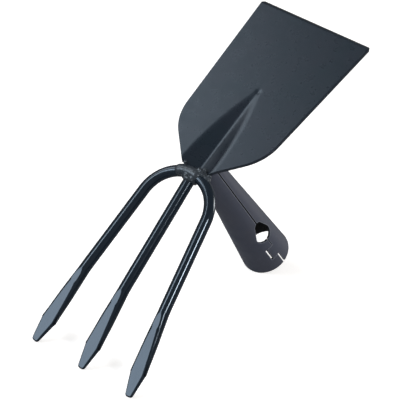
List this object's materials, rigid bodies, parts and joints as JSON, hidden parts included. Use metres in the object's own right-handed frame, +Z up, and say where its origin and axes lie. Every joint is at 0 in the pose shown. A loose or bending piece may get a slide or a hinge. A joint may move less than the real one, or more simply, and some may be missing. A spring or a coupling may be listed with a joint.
{
  "type": "double hoe head",
  "caption": "Hand hoe head: a flat blade with a pressed rib on one side, a fork of flattened tines on the other, welded to a tapered handle socket.",
  "frame": {"origin": "on the floor, under the middle of the head's bounding box", "axes": "+Z up, +X towards the blade's cutting edge, tines towards -X, Y across the blade; the head stands on its tine tips and the rim of its socket"},
  "size_m": [0.1942, 0.0822, 0.1596],
  "materials": {
    "blade_enamel": "gloss enamel, anthracite with a blue cast, on pressed sheet steel",
    "socket_enamel": "satin enamel, dark navy, on rolled sheet steel",
    "tine_enamel": "gloss enamel, near-black navy, on round steel rod",
    "weld_enamel": "the same enamel over rough weld metal, duller"
  },
  "bodies": {
    "root": {"hoe_blade": "blade_enamel", "handle_socket": "socket_enamel", "outer_tines": "tine_enamel", "centre_tine": "tine_enamel", "crest_weld": "weld_enamel", "under_weld": "weld_enamel", "collar_weld": "weld_enamel", "socket_weld": "weld_enamel"}
  },
  "joints": []
}
